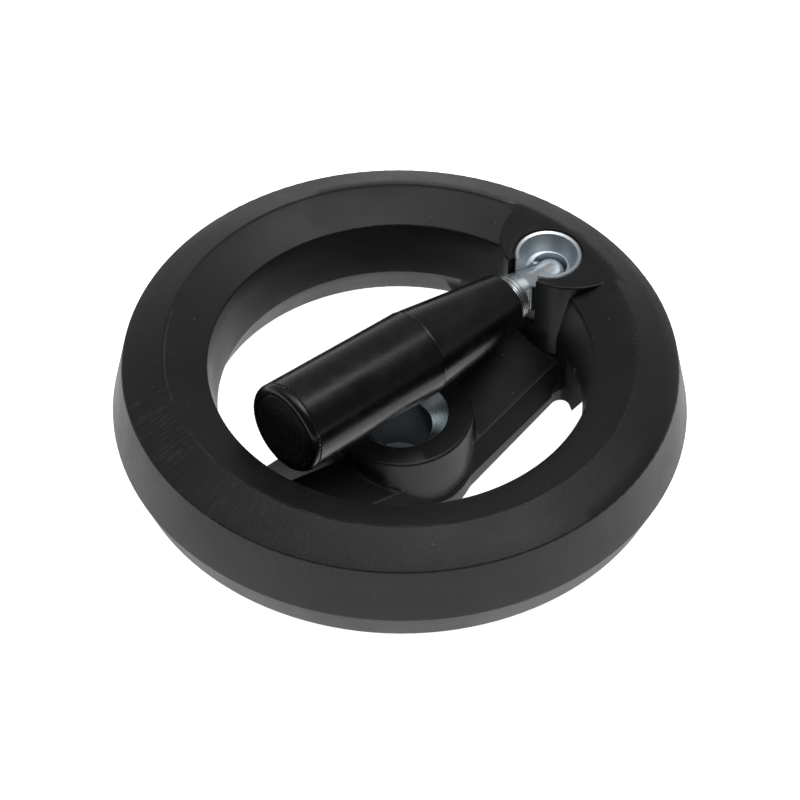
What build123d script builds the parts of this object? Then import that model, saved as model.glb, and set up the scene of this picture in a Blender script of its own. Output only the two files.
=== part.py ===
"""Machine handwheel with two arms and a handle that folds away into the wheel.

Frame: millimetres, +Z up the wheel's axis, +X from the axis towards the handle's socket.
The origin is on the wheel's axis, in the face of the hub that sits against the machine.
Heights named ..._RISE are measured from the mould's parting plane, which is PARTING_Z above the origin.
Lengths along the handle are measured from the pivot, where the handle hinges in its socket.
"""

import os
from math import cos, hypot, radians, sin, sqrt

from build123d import *

# ---- Clearances and fits -------------------------------------------------------------------------
RUNNING_FIT = 0.05  # radial, a turning part on its journal
PIVOT_FIT = 0.03  # radial, the head on its cross pin
SLIDING_FIT = 0.10  # radial, the thrust pad in the pocket
SEAT_GAP = 0.10  # between the round head and the pad that cups it
HEAD_FIT = 0.30  # radial, the round head in the pocket
SLOT_FIT = 0.15  # on each side, the tongue in the slot
SLOT_FLOOR_FIT = 0.25  # under the tongue, where it leaves the bush
SWING_CLEARANCE = 0.10  # between the collar and the corners of the boss's gate as it swings past
END_FLOAT = 0.10  # axial play of the grip on its spindle
OVERCUT = 1.0  # how far a cutting tool runs past the face that it opens

# ---- Rim: a solid ring, bevelled above and below the parting plane ----------------------------------
WHEEL_DIAMETER = 140.0
PARTING_Z = 24.5
RIM_WIDTH = 25.55  # across the section at the parting plane
RIDGE_INSET = 13.0  # from the outer edge in to the ridge
RIDGE_RISE = 18.3
INNER_LIP_RISE = 14.0
INNER_LIP_DRAFT = 2.15
OUTER_LIP_RISE = 13.8
OUTER_LIP_DRAFT = 2.75
LOWER_LIP_DROP = 8.7
LOWER_DRAFT = 3.3
LOWER_RIDGE_DROP = 13.0
RIM_EDGE_ROUND = 0.7
RIDGE_ROUND = 1.5

# ---- Hub ---------------------------------------------------------------------------------------------
HUB_RADIUS = 18.0
HUB_TOP_RISE = -3.9
HUB_TOP_ROUND = 0.8
HUB_TOE_ROUND = 1.35  # concave, where the hub stands on the arms
HUB_SEAM_TURN = 25.0  # degrees, where the hub's surface closes on itself, clear of the arms' ridges
HUB_LEDGE_WIDTH = 1.4  # of the web round the hub, between the arms

# ---- Hub bush, steel, with a plain bore ------------------------------------------------------------
BORE_DIAMETER = 16.0
HUB_BUSH_RADIUS = 12.15
HUB_BUSH_RECESS = 0.7  # its upper face lies this far below the plastic
HUB_BUSH_LAND = 0.3  # width of the flat ring round the 45 degree mouth
HUB_BUSH_CHAMFER = 0.5

# ---- Arms: a dished web with a roof-shaped top, which rises from the hub to the rim -----------------
# Each line of the roof is given where the web leaves the hub and where it meets the rim.
ARM_STATION_HUB = 13.0
ARM_STATION_INSET = 1.45  # from the rim's inner wall to the outer station
ARM_MIDDLE_RISE_HUB = -9.4
ARM_MIDDLE_RISE_RIM = -0.8
ARM_CREASE_HALF_HUB = 13.9
ARM_CREASE_HALF_RIM = 11.0
ARM_CREASE_RISE_HUB = -12.7
ARM_CREASE_RISE_RIM = -8.0
ARM_EDGE_HALF_HUB = 17.45
ARM_EDGE_HALF_RIM = 14.6
ARM_EDGE_RISE_HUB = -17.4
ARM_EDGE_RISE_RIM = -13.1
ARM_STRIP_HUB = 3.6  # height of the arm's upright side
ARM_STRIP_RIM = 2.1
ARM_SHELF_WIDTH = 5.9
ARM_CORNER_ROUND = 2.6  # in plan, where an arm meets the rim
ARM_FOOT_ROUND = 2.5  # in plan, where an arm leaves the hub's foot
WALL_TOE_ROUND = 4.0

# ---- Boss on the rim that carries the handle's socket ------------------------------------------------
BOSS_RADIUS = 17.25
BOSS_TOP_RISE = 17.5
BOSS_RUNOUT = 6.0  # length over which the cut through the ridge fades out
BOSS_EDGE_ROUND = 0.45
BOSS_GATE_HALF = 4.9  # half the width of the opening towards the hub
BOSS_GATE_FLOOR_RISE = 1.7

# ---- Socket bush, steel, pressed into the boss ---------------------------------------------------------
SOCKET_INSET = 20.5  # from the wheel's outer edge in to the socket's axis
SOCKET_RADIUS = 8.4
SOCKET_LENGTH = 23.5
SOCKET_EDGE_CHAMFER = 0.4
SOCKET_RELIEF_WIDTH = 0.35  # the narrow groove in the plastic round the bush
SOCKET_RELIEF_DEPTH = 0.5
LIP_INNER_RADIUS = 6.5
LIP_DROP = 0.35  # the flat lip falls this far towards the mouth
MOUTH_DEPTH = 4.4
MOUTH_FLOOR_RADIUS = 5.3
SLOT_HALF = 3.7
SLOT_CORNER_ROUND = 1.2
PIVOT_DEPTH = 7.95  # below the top of the boss
PIVOT_OFFSET = 0.75  # the pivot stands this far out from the bush's axis

# ---- Parts in the pocket, below the handle's head ------------------------------------------------------
PIVOT_PIN_RADIUS = 1.25
PIVOT_PIN_INSET = 0.4  # from the bush's outer wall to the pin's end
HEAD_RADIUS = 4.0
PAD_WALL = 2.4
PAD_RIM_DROP = 3.0  # below the pivot
PLUG_THICKNESS = 3.0
SPRING_WIRE = 0.8
SPRING_RADIUS = 2.8
SPRING_TURNS = 4

# ---- Handle ----------------------------------------------------------------------------------------------
FOLDED_TILT = 4.5  # degrees that the folded handle rises towards its free end
TONGUE_LENGTH = 4.65  # the straight part, as thick as the head
FLARE_LENGTH = 3.2
FLARE_RADIUS = 4.8
SHOULDER_LENGTH = 3.2
SHOULDER_RADIUS = 5.4
COLLAR_RADIUS = 5.9
COLLAR_LENGTH = 1.2
COLLAR_GROOVE_WIDTH = 0.35
COLLAR_GROOVE_DEPTH = 0.2
JOURNAL_NECK_RADIUS = 4.7
JOURNAL_RADIUS = 4.0
RING_GROOVE_DEPTH = 0.6
RING_GROOVE_WIDTH = 1.0
SPINDLE_TIP = 1.4
SPINDLE_CHAMFER = 0.4

GRIP_START = 16.05
GRIP_KNEE = 45.95
GRIP_END = 88.35
GRIP_SMALL_RADIUS = 7.4
GRIP_KNEE_RADIUS = 11.05
GRIP_END_RADIUS = 11.45
GRIP_SMALL_ROUND = 0.8
GRIP_KNEE_ROUND = 3.0
GRIP_END_ROUND = 1.8
GRIP_BORE_LENGTH = 58.0
GRIP_COUNTERBORE_RADIUS = 7.2
CAP_RADIUS = 9.2
CAP_THICKNESS = 2.0
CAP_SPIGOT_LENGTH = 3.0
CAP_SPIGOT_WALL = 1.0
WASHER_RADIUS = 6.6
WASHER_THICKNESS = 1.0
RING_RADIUS = 5.8
RING_THICKNESS = 0.9

# ---- Places worked out from the sizes ------------------------------------------------------------------
RIM_RADIUS = WHEEL_DIAMETER / 2
RIM_INNER_RADIUS = RIM_RADIUS - RIM_WIDTH
RIDGE_RADIUS = RIM_RADIUS - RIDGE_INSET
ARM_STATION_RIM = RIM_INNER_RADIUS - ARM_STATION_INSET
HUB_FOOT_RADIUS = HUB_RADIUS + HUB_LEDGE_WIDTH
SOCKET_X = RIM_RADIUS - SOCKET_INSET
PIVOT_X = SOCKET_X + PIVOT_OFFSET
POCKET_RADIUS = HEAD_RADIUS + HEAD_FIT
TONGUE_HALF = SLOT_HALF - SLOT_FIT
HUB_TOP_Z = PARTING_Z + HUB_TOP_RISE
BOSS_TOP_Z = PARTING_Z + BOSS_TOP_RISE
PIVOT_Z = BOSS_TOP_Z - PIVOT_DEPTH
SOCKET_FLOOR_Z = BOSS_TOP_Z - SOCKET_LENGTH
BORE_RADIUS = BORE_DIAMETER / 2
HUB_BUSH_TOP_Z = HUB_TOP_Z - HUB_BUSH_RECESS

# The handle's own plane: x runs along the folded handle from the pivot, y is the radius above its axis.
HANDLE_DIRECTION = Vector(-cos(radians(FOLDED_TILT)), 0, sin(radians(FOLDED_TILT)))
PIVOT = Vector(PIVOT_X, 0, PIVOT_Z)
HANDLE_PLANE = Plane(origin=PIVOT, x_dir=HANDLE_DIRECTION, z_dir=(0, 1, 0))
HANDLE_AXIS = Axis(PIVOT, HANDLE_DIRECTION)

# The tongue's flats end just beyond the arc of the gate's corners, so that the round collar swings past.
GATE_CORNER_X = RIDGE_RADIUS - sqrt(BOSS_RADIUS**2 - BOSS_GATE_HALF**2)
COLLAR_START = hypot(PIVOT_X - GATE_CORNER_X, PIVOT_DEPTH) + SWING_CLEARANCE
COLLAR_END = COLLAR_START + COLLAR_LENGTH
JOURNAL_START = GRIP_START - END_FLOAT
COUNTERBORE_START = GRIP_START + GRIP_BORE_LENGTH
GROOVE_START = COUNTERBORE_START + WASHER_THICKNESS + END_FLOAT
SPINDLE_END = GROOVE_START + RING_GROOVE_WIDTH + SPINDLE_TIP
CAP_START = GRIP_END - CAP_THICKNESS


def line_rise(station, hub_value, rim_value):
    """Value at a station along the arm of a line given at the hub's and the rim's stations."""
    share = (station - ARM_STATION_HUB) / (ARM_STATION_RIM - ARM_STATION_HUB)
    return hub_value + share * (rim_value - hub_value)


def arm_edge_half(station):
    """Half the arm's width at a station."""
    return line_rise(station, ARM_EDGE_HALF_HUB, ARM_EDGE_HALF_RIM)


def arm_floor_z(station):
    """Height of the arm's underside at a station."""
    edge_rise = line_rise(station, ARM_EDGE_RISE_HUB, ARM_EDGE_RISE_RIM)
    return PARTING_Z + edge_rise - line_rise(station, ARM_STRIP_HUB, ARM_STRIP_RIM)


def section_plane(station):
    """Plane across the arm at a station, with x across it and y up."""
    return Plane(origin=(station, 0, 0), x_dir=(0, 1, 0), z_dir=(1, 0, 0))


def roof_outline(station):
    """Corners of the arm's section at a station: across the arm, and up from the origin."""
    middle_z = PARTING_Z + line_rise(station, ARM_MIDDLE_RISE_HUB, ARM_MIDDLE_RISE_RIM)
    crease_half = line_rise(station, ARM_CREASE_HALF_HUB, ARM_CREASE_HALF_RIM)
    crease_z = PARTING_Z + line_rise(station, ARM_CREASE_RISE_HUB, ARM_CREASE_RISE_RIM)
    edge_half = arm_edge_half(station)
    edge_z = PARTING_Z + line_rise(station, ARM_EDGE_RISE_HUB, ARM_EDGE_RISE_RIM)
    floor_z = arm_floor_z(station)
    shelf_half = edge_half + ARM_SHELF_WIDTH
    right = [(crease_half, crease_z), (edge_half, edge_z), (shelf_half, edge_z), (shelf_half, floor_z)]
    left = [(-across, up) for across, up in reversed(right)]
    return [(0, middle_z), *right, *left, (0, middle_z)]


# ---- Wheel body: rim, web, hub and boss, moulded as one piece -------------------------------------------
# The web's plan: both arms, the hub's foot, and the stretch of rim wall that each arm runs into.
BAND_HALF = ARM_EDGE_HALF_RIM + ARM_SHELF_WIDTH
with BuildPart() as web_plan:
    with BuildSketch():
        with BuildLine():
            side = [(0, arm_edge_half(0)), (RIDGE_RADIUS, arm_edge_half(RIDGE_RADIUS))]
            Polyline(*side, *[(x, -y) for x, y in reversed(side)], side[0])
        make_face()
        mirror(about=Plane.YZ)
        Circle(HUB_FOOT_RADIUS)
        with BuildSketch(mode=Mode.PRIVATE) as wall_plan:
            Circle(RIDGE_RADIUS)
            Circle(RIM_INNER_RADIUS, mode=Mode.SUBTRACT)
            Rectangle(2 * RIM_RADIUS, 2 * BAND_HALF, mode=Mode.INTERSECT)
        add(wall_plan.sketch)
        for radius, corner_round in ((HUB_FOOT_RADIUS, ARM_FOOT_ROUND), (RIM_INNER_RADIUS, ARM_CORNER_ROUND)):
            corners = vertices().filter_by(
                lambda v: abs(hypot(v.X, v.Y) - radius) < 0.01 and abs(v.Y) < BAND_HALF - 0.01
            )
            fillet(corners, corner_round)
    extrude(amount=PARTING_Z)

with BuildPart() as web:
    for station in (0, RIDGE_RADIUS):
        with BuildSketch(section_plane(station)):
            with BuildLine():
                Polyline(*roof_outline(station))
            make_face()
    loft(ruled=True)
    mirror(about=Plane.YZ)
    add(web_plan.part, mode=Mode.INTERSECT)

# The stretch of rim wall above an arm, as wide as the arm's shelf and up to the parting plane.
with BuildPart() as wall_stretch:
    for station in (0, RIDGE_RADIUS):
        with BuildSketch(section_plane(station)):
            with BuildLine():
                half = arm_edge_half(station) + ARM_SHELF_WIDTH
                low = arm_floor_z(station)
                Polyline((half, low), (half, PARTING_Z), (-half, PARTING_Z), (-half, low), (half, low))
            make_face()
    loft(ruled=True)
    mirror(about=Plane.YZ)

# Below the parting plane the rim's wall drops straight to the arm, with a concave toe.
with BuildPart() as wall_toe:
    shelf_z = PARTING_Z + line_rise(RIM_INNER_RADIUS, ARM_EDGE_RISE_HUB, ARM_EDGE_RISE_RIM)
    with BuildSketch(Plane.XZ):
        with BuildLine():
            toe_start = (RIM_INNER_RADIUS - WALL_TOE_ROUND, shelf_z)
            toe_end = (RIM_INNER_RADIUS, shelf_z + WALL_TOE_ROUND)
            RadiusArc(toe_start, toe_end, -WALL_TOE_ROUND)
            Polyline(toe_end, (RIM_INNER_RADIUS, PARTING_Z), (RIDGE_RADIUS, PARTING_Z), (RIDGE_RADIUS, 0))
            Polyline((RIDGE_RADIUS, 0), (toe_start[0], 0), toe_start)
        make_face()
    revolve(axis=Axis.Z)
    add(wall_stretch.part, mode=Mode.INTERSECT)
    add(web_plan.part, mode=Mode.INTERSECT)

with BuildPart() as hub:
    with BuildSketch(Plane.XY.rotated((0, 0, HUB_SEAM_TURN))):
        Circle(HUB_RADIUS)
    extrude(amount=HUB_TOP_Z)
    fillet(edges().group_by(Axis.Z)[-1], HUB_TOP_ROUND)

with BuildPart() as rim:
    with BuildSketch(Plane.XZ):
        with BuildLine():
            Polyline(
                (RIM_INNER_RADIUS, PARTING_Z),
                (RIM_INNER_RADIUS + INNER_LIP_DRAFT, PARTING_Z + INNER_LIP_RISE),
                (RIDGE_RADIUS, PARTING_Z + RIDGE_RISE),
                (RIM_RADIUS - OUTER_LIP_DRAFT, PARTING_Z + OUTER_LIP_RISE),
                (RIM_RADIUS, PARTING_Z),
                (RIM_RADIUS - LOWER_DRAFT, PARTING_Z - LOWER_LIP_DROP),
                (RIDGE_RADIUS, PARTING_Z - LOWER_RIDGE_DROP),
                (RIM_INNER_RADIUS + LOWER_DRAFT, PARTING_Z - LOWER_LIP_DROP),
                (RIM_INNER_RADIUS, PARTING_Z),
            )
        make_face()
        ridges = vertices().filter_by(lambda v: abs(v.X - RIDGE_RADIUS) < 0.01)
        fillet(ridges, RIDGE_ROUND)
        lips = vertices().filter_by(lambda v: abs(v.Z - PARTING_Z) > 1 and abs(v.X - RIDGE_RADIUS) > 3)
        fillet(lips, RIM_EDGE_ROUND)
    revolve(axis=Axis.Z)

# Boss: stands on the arm, inside the ridge.
with BuildPart() as boss:
    with BuildSketch(Plane.XY.offset(SOCKET_FLOOR_Z)):
        with Locations((RIDGE_RADIUS, 0)):
            Circle(BOSS_RADIUS)
    extrude(amount=SOCKET_LENGTH)
    fillet(edges().group_by(Axis.Z)[-1], BOSS_EDGE_ROUND)
    with BuildSketch(Plane.XY):
        Circle(RIDGE_RADIUS)
    extrude(amount=BOSS_TOP_Z + OVERCUT, mode=Mode.INTERSECT)

with BuildPart() as wheel_body:
    add(web.part)
    add(hub.part)
    # The hub's wall meets the upper side of the arms in a concave toe.
    on_wall = edges().filter_by(lambda e: abs(hypot((e @ 0.5).X, (e @ 0.5).Y) - HUB_RADIUS) < 0.01)
    toes = on_wall.filter_by(GeomType.LINE, reverse=True).filter_by(
        lambda e: arm_floor_z(abs((e @ 0.5).X)) + 0.1 < (e @ 0.5).Z < HUB_TOP_Z - 2 * HUB_TOP_ROUND
    )
    fillet(toes, HUB_TOE_ROUND)
    add(wall_toe.part)
    add(rim.part)
    add(boss.part)
    # The boss's flat top cuts the ridge away, and the cut fades out along the ridge.
    with Locations((RIDGE_RADIUS, 0, BOSS_TOP_Z)):
        Cone(
            BOSS_RADIUS,
            BOSS_RADIUS + BOSS_RUNOUT,
            RIDGE_RISE - BOSS_TOP_RISE + OVERCUT,
            align=(Align.CENTER, Align.CENTER, Align.MIN),
            mode=Mode.SUBTRACT,
        )
    # Gate in the boss, through which the handle swings down.
    with BuildSketch(Plane.XY.offset(PARTING_Z + BOSS_GATE_FLOOR_RISE)):
        with Locations((SOCKET_X, 0)):
            Rectangle(BOSS_RADIUS, 2 * BOSS_GATE_HALF, align=(Align.MAX, Align.CENTER))
    extrude(amount=BOSS_TOP_RISE - BOSS_GATE_FLOOR_RISE + OVERCUT, mode=Mode.SUBTRACT)
    # Seats of the two bushes, with a narrow groove round the socket's.
    with BuildSketch(Plane.XY.offset(SOCKET_FLOOR_Z)):
        with Locations((SOCKET_X, 0)):
            Circle(SOCKET_RADIUS)
    extrude(amount=SOCKET_LENGTH + OVERCUT, mode=Mode.SUBTRACT)
    with BuildSketch(Plane.XY.offset(BOSS_TOP_Z - SOCKET_RELIEF_DEPTH)):
        with Locations((SOCKET_X, 0)):
            Circle(SOCKET_RADIUS + SOCKET_RELIEF_WIDTH)
    extrude(amount=SOCKET_RELIEF_DEPTH + OVERCUT, mode=Mode.SUBTRACT)
    with BuildSketch():
        Circle(HUB_BUSH_RADIUS)
    extrude(amount=HUB_TOP_Z + OVERCUT, mode=Mode.SUBTRACT)

# ---- Hub bush ------------------------------------------------------------------------------------------
with BuildPart() as hub_bush:
    with BuildSketch(Plane.XZ):
        with BuildLine():
            mouth_radius = HUB_BUSH_RADIUS - HUB_BUSH_LAND
            Polyline(
                (BORE_RADIUS, HUB_BUSH_TOP_Z - (mouth_radius - BORE_RADIUS)),
                (mouth_radius, HUB_BUSH_TOP_Z),
                (HUB_BUSH_RADIUS, HUB_BUSH_TOP_Z),
                (HUB_BUSH_RADIUS, 0),
                (BORE_RADIUS + HUB_BUSH_CHAMFER, 0),
                (BORE_RADIUS, HUB_BUSH_CHAMFER),
                close=True,
            )
        make_face()
    revolve(axis=Axis.Z)

# ---- Socket bush: a flat lip and a steep mouth over a round pocket, slotted for the folded handle --------
SOCKET_AXIS_PLANE = Plane(origin=(SOCKET_X, 0, 0), x_dir=(1, 0, 0), z_dir=(0, -1, 0))
SOCKET_AXIS = Axis((SOCKET_X, 0, 0), (0, 0, 1))
SLOT_PLANE = Plane(origin=PIVOT, x_dir=(0, -1, 0), z_dir=HANDLE_DIRECTION)
# The flared tongue is this thick where it leaves the bush, and the slot's floor lies below it.
slot_reach = PIVOT_X - SOCKET_X + SOCKET_RADIUS
flare_share = min(1, max(0, slot_reach - TONGUE_LENGTH) / (FLARE_LENGTH + SHOULDER_LENGTH))
SLOT_DROP = HEAD_RADIUS + flare_share * (SHOULDER_RADIUS - HEAD_RADIUS) + SLOT_FLOOR_FIT
with BuildPart() as socket_bush:
    with BuildSketch(SOCKET_AXIS_PLANE):
        with BuildLine():
            Polyline(
                (0, SOCKET_FLOOR_Z),
                (SOCKET_RADIUS, SOCKET_FLOOR_Z),
                (SOCKET_RADIUS, BOSS_TOP_Z - SOCKET_EDGE_CHAMFER),
                (SOCKET_RADIUS - SOCKET_EDGE_CHAMFER, BOSS_TOP_Z),
                (LIP_INNER_RADIUS, BOSS_TOP_Z - LIP_DROP),
                (MOUTH_FLOOR_RADIUS, BOSS_TOP_Z - MOUTH_DEPTH),
                (0, BOSS_TOP_Z - MOUTH_DEPTH),
                close=True,
            )
        make_face()
    revolve(axis=SOCKET_AXIS)
    with BuildSketch(Plane.XY.offset(SOCKET_FLOOR_Z)):
        with Locations((PIVOT_X, 0)):
            Circle(POCKET_RADIUS)
    extrude(amount=SOCKET_LENGTH, mode=Mode.SUBTRACT)
    with BuildSketch(SLOT_PLANE):
        with Locations((0, -SLOT_DROP)):
            Rectangle(2 * SLOT_HALF, SOCKET_LENGTH, align=(Align.CENTER, Align.MIN))
        fillet(vertices().group_by(Axis.Z)[0], SLOT_CORNER_ROUND)
    extrude(amount=SOCKET_RADIUS + PIVOT_OFFSET + OVERCUT, mode=Mode.SUBTRACT)
    with BuildSketch(Plane.XZ.offset(-SOCKET_RADIUS)):
        with Locations((PIVOT_X, PIVOT_Z)):
            Circle(PIVOT_PIN_RADIUS)
    extrude(amount=2 * SOCKET_RADIUS, mode=Mode.SUBTRACT)

# ---- Cross pin, thrust pad, spring and plug ---------------------------------------------------------------
with BuildPart() as pivot_pin:
    half_length = sqrt(SOCKET_RADIUS**2 - (PIVOT_OFFSET + PIVOT_PIN_RADIUS) ** 2) - PIVOT_PIN_INSET
    with BuildSketch(Plane.XZ.offset(-half_length)):
        with Locations((PIVOT_X, PIVOT_Z)):
            Circle(PIVOT_PIN_RADIUS)
    extrude(amount=2 * half_length)

PAD_RADIUS = POCKET_RADIUS - SLIDING_FIT
PAD_TOP_Z = PIVOT_Z - PAD_RIM_DROP
PAD_FLOOR_Z = PIVOT_Z - HEAD_RADIUS - SEAT_GAP - PAD_WALL
PLUG_TOP_Z = SOCKET_FLOOR_Z + PLUG_THICKNESS
with BuildPart() as thrust_pad:
    with BuildSketch(Plane.XY.offset(PAD_FLOOR_Z)):
        with Locations((PIVOT_X, 0)):
            Circle(PAD_RADIUS)
    extrude(amount=PAD_TOP_Z - PAD_FLOOR_Z)
    with Locations(PIVOT):
        Sphere(HEAD_RADIUS + SEAT_GAP, mode=Mode.SUBTRACT)
    with BuildSketch(SLOT_PLANE):
        Circle(HEAD_RADIUS + SEAT_GAP)
    extrude(amount=POCKET_RADIUS + OVERCUT, mode=Mode.SUBTRACT)

with BuildPart() as socket_plug:
    with BuildSketch(Plane.XY.offset(SOCKET_FLOOR_Z)):
        with Locations((PIVOT_X, 0)):
            Circle(POCKET_RADIUS)
    extrude(amount=PLUG_THICKNESS)

# The spring's wire, from the plug up to the pad.
SPRING_FLOOR_Z = PLUG_TOP_Z + SPRING_WIRE / 2 + SEAT_GAP
SPRING_TOP_Z = PAD_FLOOR_Z - SPRING_WIRE / 2 - SEAT_GAP
with BuildPart() as thrust_spring:
    with BuildLine(Plane(origin=(PIVOT_X, 0, SPRING_FLOOR_Z))) as coil:
        rise = SPRING_TOP_Z - SPRING_FLOOR_Z
        Helix(pitch=rise / SPRING_TURNS, height=rise, radius=SPRING_RADIUS)
    with BuildSketch(Plane(origin=coil.line @ 0, z_dir=coil.line % 0)):
        Circle(SPRING_WIRE / 2)
    sweep(path=coil.line, is_frenet=True)

# ---- Handle: one turned spindle, from the round head in the socket to the tip inside the grip -----------
FLARE_END = TONGUE_LENGTH + FLARE_LENGTH
SHOULDER_END = FLARE_END + SHOULDER_LENGTH
with BuildPart() as crank_spindle:
    with BuildSketch(HANDLE_PLANE):
        with BuildLine():
            CenterArc((0, 0), HEAD_RADIUS, 90, 90)
            Polyline(
                (0, HEAD_RADIUS),
                (TONGUE_LENGTH, HEAD_RADIUS),
                (FLARE_END, FLARE_RADIUS),
                (SHOULDER_END, SHOULDER_RADIUS),
                (COLLAR_START, COLLAR_RADIUS),
                (COLLAR_START + COLLAR_GROOVE_WIDTH, COLLAR_RADIUS),
                (COLLAR_START + COLLAR_GROOVE_WIDTH, COLLAR_RADIUS - COLLAR_GROOVE_DEPTH),
                (COLLAR_START + 2 * COLLAR_GROOVE_WIDTH, COLLAR_RADIUS - COLLAR_GROOVE_DEPTH),
                (COLLAR_START + 2 * COLLAR_GROOVE_WIDTH, COLLAR_RADIUS),
                (COLLAR_END, COLLAR_RADIUS),
                (JOURNAL_START, JOURNAL_NECK_RADIUS),
                (JOURNAL_START, JOURNAL_RADIUS),
                (GROOVE_START, JOURNAL_RADIUS),
                (GROOVE_START, JOURNAL_RADIUS - RING_GROOVE_DEPTH),
                (GROOVE_START + RING_GROOVE_WIDTH, JOURNAL_RADIUS - RING_GROOVE_DEPTH),
                (GROOVE_START + RING_GROOVE_WIDTH, JOURNAL_RADIUS),
                (SPINDLE_END - SPINDLE_CHAMFER, JOURNAL_RADIUS),
                (SPINDLE_END, JOURNAL_RADIUS - SPINDLE_CHAMFER),
                (SPINDLE_END, 0),
                (-HEAD_RADIUS, 0),
            )
        make_face()
    revolve(axis=HANDLE_AXIS)
    # The tongue has a flat on each side, so that it fits the slot.
    with BuildSketch(SLOT_PLANE.offset(-HEAD_RADIUS - OVERCUT)):
        Rectangle(4 * COLLAR_RADIUS, 4 * COLLAR_RADIUS)
        Rectangle(2 * TONGUE_HALF, 4 * COLLAR_RADIUS, mode=Mode.SUBTRACT)
    extrude(amount=HEAD_RADIUS + OVERCUT + COLLAR_START, mode=Mode.SUBTRACT)
    with BuildSketch(Plane.XZ.offset(-HEAD_RADIUS)):
        with Locations((PIVOT_X, PIVOT_Z)):
            Circle(PIVOT_PIN_RADIUS + PIVOT_FIT)
    extrude(amount=2 * HEAD_RADIUS, mode=Mode.SUBTRACT)

with BuildPart() as grip_sleeve:
    with BuildSketch(HANDLE_PLANE):
        with BuildLine():
            Polyline(
                (GRIP_START, JOURNAL_RADIUS + RUNNING_FIT),
                (GRIP_START, GRIP_SMALL_RADIUS),
                (GRIP_KNEE, GRIP_KNEE_RADIUS),
                (GRIP_END, GRIP_END_RADIUS),
                (GRIP_END, CAP_RADIUS),
                (CAP_START, CAP_RADIUS),
                (CAP_START, GRIP_COUNTERBORE_RADIUS),
                (COUNTERBORE_START, GRIP_COUNTERBORE_RADIUS),
                (COUNTERBORE_START, JOURNAL_RADIUS + RUNNING_FIT),
                close=True,
            )
        make_face()
    revolve(axis=HANDLE_AXIS)
    outer_edges = (
        (GRIP_SMALL_RADIUS, GRIP_SMALL_ROUND),
        (GRIP_KNEE_RADIUS, GRIP_KNEE_ROUND),
        (GRIP_END_RADIUS, GRIP_END_ROUND),
    )
    for radius, edge_round in outer_edges:
        rings = edges().filter_by(GeomType.CIRCLE).filter_by(lambda e: abs(e.radius - radius) < 0.01)
        fillet(rings, edge_round)

with BuildPart() as grip_end_cap:
    with BuildSketch(HANDLE_PLANE):
        with BuildLine():
            Polyline(
                (GRIP_END, 0),
                (GRIP_END, CAP_RADIUS),
                (CAP_START, CAP_RADIUS),
                (CAP_START, GRIP_COUNTERBORE_RADIUS),
                (CAP_START - CAP_SPIGOT_LENGTH, GRIP_COUNTERBORE_RADIUS),
                (CAP_START - CAP_SPIGOT_LENGTH, GRIP_COUNTERBORE_RADIUS - CAP_SPIGOT_WALL),
                (CAP_START, GRIP_COUNTERBORE_RADIUS - CAP_SPIGOT_WALL),
                (CAP_START, 0),
                close=True,
            )
        make_face()
    revolve(axis=HANDLE_AXIS)

with BuildPart() as grip_washer:
    with BuildSketch(SLOT_PLANE.offset(COUNTERBORE_START)):
        Circle(WASHER_RADIUS)
        Circle(JOURNAL_RADIUS + RUNNING_FIT, mode=Mode.SUBTRACT)
    extrude(amount=WASHER_THICKNESS)

with BuildPart() as retaining_ring:
    with BuildSketch(SLOT_PLANE.offset(GROOVE_START)):
        Circle(RING_RADIUS)
        Circle(JOURNAL_RADIUS - RING_GROOVE_DEPTH, mode=Mode.SUBTRACT)
        with Locations((0, -RING_RADIUS)):
            Rectangle(JOURNAL_RADIUS, 2 * RING_RADIUS, mode=Mode.SUBTRACT)
    extrude(amount=RING_THICKNESS)

PIECES = {
    "wheel_body": wheel_body,
    "hub_bush": hub_bush,
    "socket_bush": socket_bush,
    "pivot_pin": pivot_pin,
    "thrust_pad": thrust_pad,
    "thrust_spring": thrust_spring,
    "socket_plug": socket_plug,
    "crank_spindle": crank_spindle,
    "grip_sleeve": grip_sleeve,
    "grip_end_cap": grip_end_cap,
    "grip_washer": grip_washer,
    "retaining_ring": retaining_ring,
}
os.makedirs("parts", exist_ok=True)
for name, piece in PIECES.items():
    piece.part.label = name
    export_step(piece.part, f"parts/{name}.step")
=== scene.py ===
"""Looks of a machine handwheel with a folding handle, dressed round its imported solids.

Everything is in metres in the solids' own frame: +Z up the wheel's axis, +X towards the handle's socket,
and the origin on the wheel's axis in the face of the hub that sits against the machine. MM carries sizes
that are written in millimetres into metres.
"""

import logging
import math
from dataclasses import dataclass, field
from enum import Enum
from typing import Any, Sequence, Union

import bmesh
import bpy
import numpy as np
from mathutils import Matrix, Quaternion, Vector


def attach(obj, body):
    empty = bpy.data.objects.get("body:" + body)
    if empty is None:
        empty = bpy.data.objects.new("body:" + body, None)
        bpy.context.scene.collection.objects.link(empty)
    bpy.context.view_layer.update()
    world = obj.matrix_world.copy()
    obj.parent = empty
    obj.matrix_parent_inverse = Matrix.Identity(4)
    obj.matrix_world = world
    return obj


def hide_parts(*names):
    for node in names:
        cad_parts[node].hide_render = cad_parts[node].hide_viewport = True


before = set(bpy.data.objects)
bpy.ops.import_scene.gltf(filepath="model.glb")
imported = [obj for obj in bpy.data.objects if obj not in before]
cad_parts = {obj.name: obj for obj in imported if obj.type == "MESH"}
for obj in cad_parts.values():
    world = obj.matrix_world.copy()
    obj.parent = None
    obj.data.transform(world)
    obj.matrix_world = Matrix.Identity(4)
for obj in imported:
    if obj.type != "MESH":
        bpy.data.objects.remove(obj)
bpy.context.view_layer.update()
LOG = logging.getLogger("handwheel")
MM = 0.001
HANDLE_PIVOT = (50.25 * MM, 0.0, 34.05 * MM)
HANDLE_TILT = math.radians(4.5)  # the folded handle rises this much towards its free end
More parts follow.
